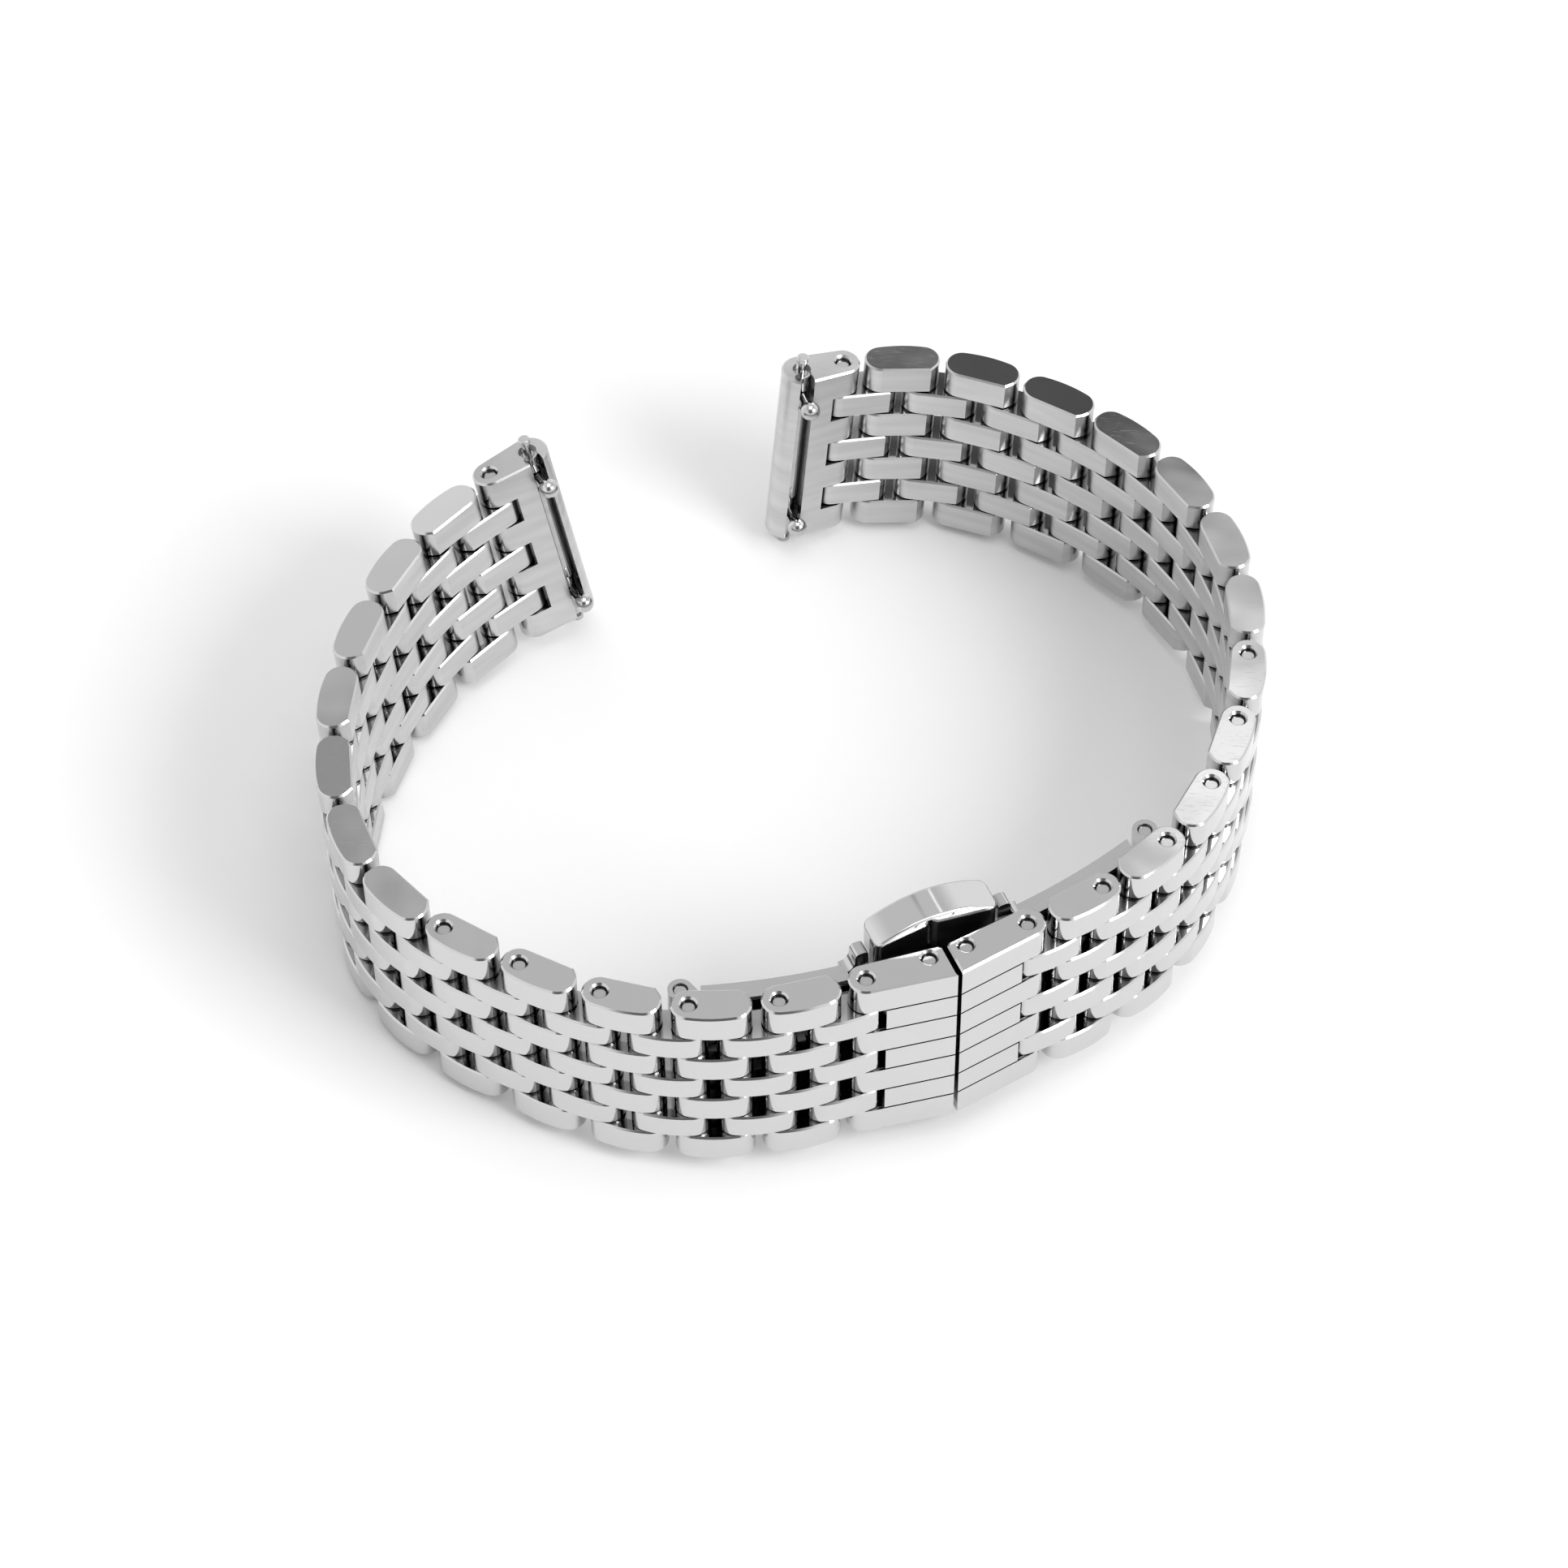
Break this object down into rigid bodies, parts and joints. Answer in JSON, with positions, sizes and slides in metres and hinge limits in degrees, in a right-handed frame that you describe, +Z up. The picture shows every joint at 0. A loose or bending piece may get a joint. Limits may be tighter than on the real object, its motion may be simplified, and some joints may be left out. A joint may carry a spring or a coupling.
{
  "type": "link watch bracelet",
  "caption": "Straight steel link watch bracelet with brick-laid links, a folding butterfly clasp released by push-buttons, and quick-release spring bars.",
  "frame": {"origin": "under the middle of the bracelet's box, on the surface it stands on", "axes": "+X to the right along the longest extent, +Y from the clasp towards the free ends, +Z up along the pins"},
  "size_m": [0.0742, 0.07, 0.0225],
  "materials": {
    "link_steel": "polished outside, satin inside",
    "clasp_steel": "satin",
    "bright_steel": "polished"
  },
  "bodies": {
    "clasp": {"clasp_plate": "clasp_steel"},
    "upper_button": {"upper_push_button": "bright_steel"},
    "lower_button": {"lower_push_button": "bright_steel"},
    "right_wing": {"right_clasp_wing": "clasp_steel"},
    "right_block": {"right_clasp_block": "link_steel"},
    "right_link_pair_01": {"right_link_pair_01": "link_steel"},
    "right_link_pair_02": {"right_link_pair_02": "link_steel"},
    "right_link_pair_03": {"right_link_pair_03": "link_steel"},
    "right_inner_links_04": {"right_inner_links_04": "link_steel"},
    "right_outer_links_04": {"right_outer_links_04": "link_steel"},
    "right_inner_links_05": {"right_inner_links_05": "link_steel"},
    "right_outer_links_05": {"right_outer_links_05": "link_steel"},
    "right_inner_links_06": {"right_inner_links_06": "link_steel"},
    "right_outer_links_06": {"right_outer_links_06": "link_steel"},
    "right_inner_links_07": {"right_inner_links_07": "link_steel"},
    "right_outer_links_07": {"right_outer_links_07": "link_steel"},
    "right_inner_links_08": {"right_inner_links_08": "link_steel"},
    "right_outer_links_08": {"right_outer_links_08": "link_steel"},
    "right_inner_links_09": {"right_inner_links_09": "link_steel"},
    "right_outer_links_09": {"right_outer_links_09": "link_steel"},
    "right_inner_links_10": {"right_inner_links_10": "link_steel"},
    "right_outer_links_10": {"right_outer_links_10": "link_steel"},
    "right_inner_links_11": {"right_inner_links_11": "link_steel"},
    "right_outer_links_11": {"right_outer_links_11": "link_steel"},
    "right_inner_links_12": {"right_inner_links_12": "link_steel"},
    "right_outer_links_12": {"right_outer_links_12": "link_steel"},
    "right_inner_links_13": {"right_inner_links_13": "link_steel"},
    "right_end": {"right_end_piece": "link_steel", "right_spring_bar": "bright_steel"},
    "right_upper_bar_tip": {"right_upper_bar_tip": "bright_steel"},
    "right_lower_bar_tip": {"right_lower_bar_tip": "bright_steel"},
    "left_wing": {"left_clasp_wing": "clasp_steel"},
    "left_block": {"left_clasp_block": "link_steel"},
    "left_link_pair_01": {"left_link_pair_01": "link_steel"},
    "left_link_pair_02": {"left_link_pair_02": "link_steel"},
    "left_link_pair_03": {"left_link_pair_03": "link_steel"},
    "left_inner_links_04": {"left_inner_links_04": "link_steel"},
    "left_outer_links_04": {"left_outer_links_04": "link_steel"},
    "left_inner_links_05": {"left_inner_links_05": "link_steel"},
    "left_outer_links_05": {"left_outer_links_05": "link_steel"},
    "left_inner_links_06": {"left_inner_links_06": "link_steel"},
    "left_outer_links_06": {"left_outer_links_06": "link_steel"},
    "left_inner_links_07": {"left_inner_links_07": "link_steel"},
    "left_outer_links_07": {"left_outer_links_07": "link_steel"},
    "left_inner_links_08": {"left_inner_links_08": "link_steel"},
    "left_outer_links_08": {"left_outer_links_08": "link_steel"},
    "left_inner_links_09": {"left_inner_links_09": "link_steel"},
    "left_outer_links_09": {"left_outer_links_09": "link_steel"},
    "left_inner_links_10": {"left_inner_links_10": "link_steel"},
    "left_outer_links_10": {"left_outer_links_10": "link_steel"},
    "left_inner_links_11": {"left_inner_links_11": "link_steel"},
    "left_outer_links_11": {"left_outer_links_11": "link_steel"},
    "left_inner_links_12": {"left_inner_links_12": "link_steel"},
    "left_outer_links_12": {"left_outer_links_12": "link_steel"},
    "left_inner_links_13": {"left_inner_links_13": "link_steel"},
    "left_end": {"left_end_piece": "link_steel", "left_spring_bar": "bright_steel"},
    "left_upper_bar_tip": {"left_upper_bar_tip": "bright_steel"},
    "left_lower_bar_tip": {"left_lower_bar_tip": "bright_steel"}
  },
  "joints": [
    {"name": "upper_button_press", "type": "slide", "parent": "clasp", "child": "upper_button", "axis": [0.0291, -0.0317, -0.9991], "range_m": [0, 0.0006], "stiffness_N_per_m": 400},
    {"name": "lower_button_press", "type": "slide", "parent": "clasp", "child": "lower_button", "axis": [-0.0291, 0.0317, 0.9991], "range_m": [0, 0.0006], "stiffness_N_per_m": 400},
    {"name": "right_wing_hinge", "type": "hinge", "parent": "clasp", "child": "right_wing", "pos_m": [0.02829, -0.01243, 0.01134], "axis": [-0.0291, 0.0317, 0.9991], "range_deg": [0, 135]},
    {"name": "right_block_hinge", "type": "hinge", "parent": "right_wing", "child": "right_block", "pos_m": [0.01521, -0.02614, 0.01139], "axis": [-0.0291, 0.0317, 0.9991], "range_deg": [-135, 0]},
    {"name": "right_pin_01", "type": "hinge", "parent": "right_block", "child": "right_link_pair_01", "pos_m": [0.01975, -0.02363, 0.01145], "axis": [0.0291, -0.0317, -0.9991], "range_deg": [-0.3, 15]},
    {"name": "right_pin_03", "type": "hinge", "parent": "right_link_pair_01", "child": "right_link_pair_02", "pos_m": [0.02526, -0.01965, 0.01147], "axis": [-0.0242, 0.0309, 0.9992], "range_deg": [-15, 0.8]},
    {"name": "right_pin_05", "type": "hinge", "parent": "right_link_pair_02", "child": "right_link_pair_03", "pos_m": [0.02994, -0.01473, 0.01142], "axis": [0.0193, -0.031, -0.9993], "range_deg": [-5, 15]},
    {"name": "right_pin_07", "type": "hinge", "parent": "right_link_pair_03", "child": "right_inner_links_04", "pos_m": [0.0331, -0.00873, 0.01128], "axis": [-0.0146, 0.0325, 0.9994], "range_deg": [-15, 15]},
    {"name": "right_pin_08", "type": "hinge", "parent": "right_inner_links_04", "child": "right_outer_links_04", "pos_m": [0.03416, -0.0055, 0.0112], "axis": [0.0146, -0.0325, -0.9994], "range_deg": [-15, 15]},
    {"name": "right_pin_09", "type": "hinge", "parent": "right_outer_links_04", "child": "right_inner_links_05", "pos_m": [0.03494, -0.0022, 0.0111], "axis": [-0.0146, 0.0325, 0.9994], "range_deg": [-15, 15]},
    {"name": "right_pin_10", "type": "hinge", "parent": "right_inner_links_05", "child": "right_outer_links_05", "pos_m": [0.03539, 0.00117, 0.011], "axis": [0.0146, -0.0325, -0.9994], "range_deg": [-15, 15]},
    {"name": "right_pin_11", "type": "hinge", "parent": "right_outer_links_05", "child": "right_inner_links_06", "pos_m": [0.03552, 0.00457, 0.01089], "axis": [-0.0146, 0.0325, 0.9994], "range_deg": [-15, 15]},
    {"name": "right_pin_12", "type": "hinge", "parent": "right_inner_links_06", "child": "right_outer_links_06", "pos_m": [0.03535, 0.00796, 0.01077], "axis": [0.0146, -0.0325, -0.9994], "range_deg": [-15, 15]},
    {"name": "right_pin_13", "type": "hinge", "parent": "right_outer_links_06", "child": "right_inner_links_07", "pos_m": [0.03488, 0.01133, 0.01066], "axis": [-0.0146, 0.0325, 0.9994], "range_deg": [-15, 15]},
    {"name": "right_pin_14", "type": "hinge", "parent": "right_inner_links_07", "child": "right_outer_links_07", "pos_m": [0.03398, 0.0146, 0.01054], "axis": [0.0146, -0.0325, -0.9994], "range_deg": [-15, 15]},
    {"name": "right_pin_15", "type": "hinge", "parent": "right_outer_links_07", "child": "right_inner_links_08", "pos_m": [0.03265, 0.01773, 0.01042], "axis": [-0.0146, 0.0325, 0.9994], "range_deg": [-15, 15]},
    {"name": "right_pin_16", "type": "hinge", "parent": "right_inner_links_08", "child": "right_outer_links_08", "pos_m": [0.03091, 0.02065, 0.0103], "axis": [0.0146, -0.0325, -0.9994], "range_deg": [-15, 15]},
    {"name": "right_pin_17", "type": "hinge", "parent": "right_outer_links_08", "child": "right_inner_links_09", "pos_m": [0.02881, 0.02332, 0.01018], "axis": [-0.0146, 0.0325, 0.9994], "range_deg": [-15, 15]},
    {"name": "right_pin_18", "type": "hinge", "parent": "right_inner_links_09", "child": "right_outer_links_09", "pos_m": [0.02637, 0.02569, 0.01007], "axis": [0.0146, -0.0325, -0.9994], "range_deg": [-15, 15]},
    {"name": "right_pin_19", "type": "hinge", "parent": "right_outer_links_09", "child": "right_inner_links_10", "pos_m": [0.02364, 0.02771, 0.00996], "axis": [-0.0084, 0.0409, 0.9991], "range_deg": [-15, 15]},
    {"name": "right_pin_20", "type": "hinge", "parent": "right_inner_links_10", "child": "right_outer_links_10", "pos_m": [0.02071, 0.02944, 0.00987], "axis": [0.003, -0.0499, -0.9988], "range_deg": [-15, 15]},
    {"name": "right_pin_21", "type": "hinge", "parent": "right_outer_links_10", "child": "right_inner_links_11", "pos_m": [0.01762, 0.03085, 0.00979], "axis": [0.0013, 0.0594, 0.9982], "range_deg": [-15, 15]},
    {"name": "right_pin_22", "type": "hinge", "parent": "right_inner_links_11", "child": "right_outer_links_11", "pos_m": [0.0144, 0.03193, 0.00973], "axis": [-0.008, -0.0682, -0.9976], "range_deg": [-15, 15]},
    {"name": "right_pin_23", "type": "hinge", "parent": "right_outer_links_11", "child": "right_inner_links_12", "pos_m": [0.01108, 0.03267, 0.00972], "axis": [0.0136, 0.0776, 0.9969], "range_deg": [-15, 15]},
    {"name": "right_pin_24", "type": "hinge", "parent": "right_inner_links_12", "child": "right_outer_links_12", "pos_m": [0.00768, 0.03279, 0.00976], "axis": [-0.0175, -0.0879, -0.996], "range_deg": [-15, 15]},
    {"name": "right_pin_25", "type": "hinge", "parent": "right_outer_links_12", "child": "right_inner_links_13", "pos_m": [0.00432, 0.03228, 0.00988], "axis": [0.0294, 0.0967, 0.9949], "range_deg": [-15, 15]},
    {"name": "right_pin_26", "type": "hinge", "parent": "right_inner_links_13", "child": "right_end", "pos_m": [0.00106, 0.03134, 0.01009], "axis": [-0.0399, -0.107, -0.9935], "range_deg": [-15, 15]},
    {"name": "right_upper_tip_slide", "type": "slide", "parent": "right_end", "child": "right_upper_bar_tip", "axis": [-0.0399, -0.107, -0.9935], "range_m": [0, 0.0012], "stiffness_N_per_m": 300},
    {"name": "right_lower_tip_slide", "type": "slide", "parent": "right_end", "child": "right_lower_bar_tip", "axis": [0.0399, 0.107, 0.9935], "range_m": [0, 0.0012], "stiffness_N_per_m": 300},
    {"name": "left_wing_hinge", "type": "hinge", "parent": "clasp", "child": "left_wing", "pos_m": [-0.00618, -0.03067, 0.01091], "axis": [0.0291, -0.0317, -0.9991], "range_deg": [0, 135]},
    {"name": "left_block_hinge", "type": "hinge", "parent": "left_wing", "child": "left_block", "pos_m": [0.01251, -0.02757, 0.01136], "axis": [0.0291, -0.0317, -0.9991], "range_deg": [-135, 0]},
    {"name": "left_pin_01", "type": "hinge", "parent": "left_block", "child": "left_link_pair_01", "pos_m": [0.00787, -0.02991, 0.0113], "axis": [-0.0291, 0.0317, 0.9991], "range_deg": [-0.3, 15]},
    {"name": "left_pin_03", "type": "hinge", "parent": "left_link_pair_01", "child": "left_link_pair_02", "pos_m": [0.00153, -0.03235, 0.01116], "axis": [0.0372, -0.0285, -0.9989], "range_deg": [-15, 0.8]},
    {"name": "left_pin_05", "type": "hinge", "parent": "left_link_pair_02", "child": "left_link_pair_03", "pos_m": [-0.00518, -0.03332, 0.01091], "axis": [-0.0459, 0.0273, 0.9986], "range_deg": [-5, 15]},
    {"name": "left_pin_07", "type": "hinge", "parent": "left_link_pair_03", "child": "left_inner_links_04", "pos_m": [-0.01191, -0.03248, 0.01055], "axis": [0.0545, -0.0284, -0.9981], "range_deg": [-15, 15]},
    {"name": "left_pin_08", "type": "hinge", "parent": "left_inner_links_04", "child": "left_outer_links_04", "pos_m": [-0.01515, -0.03147, 0.01035], "axis": [-0.0538, 0.0245, 0.9982], "range_deg": [-15, 15]},
    {"name": "left_pin_09", "type": "hinge", "parent": "left_outer_links_04", "child": "left_inner_links_05", "pos_m": [-0.01827, -0.03013, 0.01015], "axis": [0.0536, -0.0206, -0.9983], "range_deg": [-15, 15]},
    {"name": "left_pin_10", "type": "hinge", "parent": "left_inner_links_05", "child": "left_outer_links_05", "pos_m": [-0.02133, -0.02867, 0.00996], "axis": [-0.0536, 0.0167, 0.9984], "range_deg": [-15, 15]},
    {"name": "left_pin_11", "type": "hinge", "parent": "left_outer_links_05", "child": "left_inner_links_06", "pos_m": [-0.02433, -0.02708, 0.00977], "axis": [0.0537, -0.0128, -0.9985], "range_deg": [-15, 15]},
    {"name": "left_pin_12", "type": "hinge", "parent": "left_inner_links_06", "child": "left_outer_links_06", "pos_m": [-0.0271, -0.02512, 0.0096], "axis": [-0.0542, 0.009, 0.9985], "range_deg": [-15, 15]},
    {"name": "left_pin_13", "type": "hinge", "parent": "left_outer_links_06", "child": "left_inner_links_07", "pos_m": [-0.02961, -0.02282, 0.00945], "axis": [0.0553, -0.0052, -0.9985], "range_deg": [-15, 15]},
    {"name": "left_pin_14", "type": "hinge", "parent": "left_inner_links_07", "child": "left_outer_links_07", "pos_m": [-0.03163, -0.0201, 0.00932], "axis": [-0.0571, 0.0017, 0.9984], "range_deg": [-15, 15]},
    {"name": "left_pin_15", "type": "hinge", "parent": "left_outer_links_07", "child": "left_inner_links_08", "pos_m": [-0.0331, -0.01703, 0.00924], "axis": [0.0594, 0.0014, -0.9982], "range_deg": [-15, 15]},
    {"name": "left_pin_16", "type": "hinge", "parent": "left_inner_links_08", "child": "left_outer_links_08", "pos_m": [-0.03412, -0.01379, 0.00918], "axis": [-0.0623, -0.0041, 0.9981], "range_deg": [-15, 15]},
    {"name": "left_pin_17", "type": "hinge", "parent": "left_outer_links_08", "child": "left_inner_links_09", "pos_m": [-0.03464, -0.01043, 0.00916], "axis": [0.0767, 0.0019, -0.9971], "range_deg": [-15, 15]},
    {"name": "left_pin_18", "type": "hinge", "parent": "left_inner_links_09", "child": "left_outer_links_09", "pos_m": [-0.03481, -0.00703, 0.00914], "axis": [-0.0908, 0.0017, 0.9959], "range_deg": [-15, 15]},
    {"name": "left_pin_19", "type": "hinge", "parent": "left_outer_links_09", "child": "left_inner_links_10", "pos_m": [-0.03462, -0.00364, 0.00915], "axis": [0.1044, -0.0069, -0.9945], "range_deg": [-15, 15]},
    {"name": "left_pin_20", "type": "hinge", "parent": "left_inner_links_10", "child": "left_outer_links_10", "pos_m": [-0.03407, -0.00028, 0.00918], "axis": [-0.1174, 0.0135, 0.993], "range_deg": [-15, 15]},
    {"name": "left_pin_21", "type": "hinge", "parent": "left_outer_links_10", "child": "left_inner_links_11", "pos_m": [-0.03316, 0.00299, 0.00923], "axis": [0.1296, -0.0214, -0.9913], "range_deg": [-15, 15]},
    {"name": "left_pin_22", "type": "hinge", "parent": "left_inner_links_11", "child": "left_outer_links_11", "pos_m": [-0.03199, 0.00618, 0.00931], "axis": [-0.1478, 0.0319, 0.9885], "range_deg": [-15, 15]},
    {"name": "left_pin_23", "type": "hinge", "parent": "left_outer_links_11", "child": "left_inner_links_12", "pos_m": [-0.03056, 0.00927, 0.00942], "axis": [0.1651, -0.0438, -0.9853], "range_deg": [-15, 15]},
    {"name": "left_pin_24", "type": "hinge", "parent": "left_inner_links_12", "child": "left_outer_links_12", "pos_m": [-0.02872, 0.01212, 0.00959], "axis": [-0.1804, 0.0581, 0.9819], "range_deg": [-15, 15]},
    {"name": "left_pin_25", "type": "hinge", "parent": "left_outer_links_12", "child": "left_inner_links_13", "pos_m": [-0.02649, 0.01467, 0.00986], "axis": [0.2036, -0.0707, -0.9765], "range_deg": [-15, 15]},
    {"name": "left_pin_26", "type": "hinge", "parent": "left_inner_links_13", "child": "left_end", "pos_m": [-0.02401, 0.01697, 0.01022], "axis": [-0.225, 0.0857, 0.9706], "range_deg": [-15, 15]},
    {"name": "left_upper_tip_slide", "type": "slide", "parent": "left_end", "child": "left_upper_bar_tip", "axis": [0.225, -0.0857, -0.9706], "range_m": [0, 0.0012], "stiffness_N_per_m": 300},
    {"name": "left_lower_tip_slide", "type": "slide", "parent": "left_end", "child": "left_lower_bar_tip", "axis": [-0.225, 0.0857, 0.9706], "range_m": [0, 0.0012], "stiffness_N_per_m": 300}
  ],
  "couplings": [
    {"joint": "right_block_hinge", "follows": "right_wing_hinge", "ratio": -1},
    {"joint": "left_block_hinge", "follows": "left_wing_hinge", "ratio": -1}
  ]
}
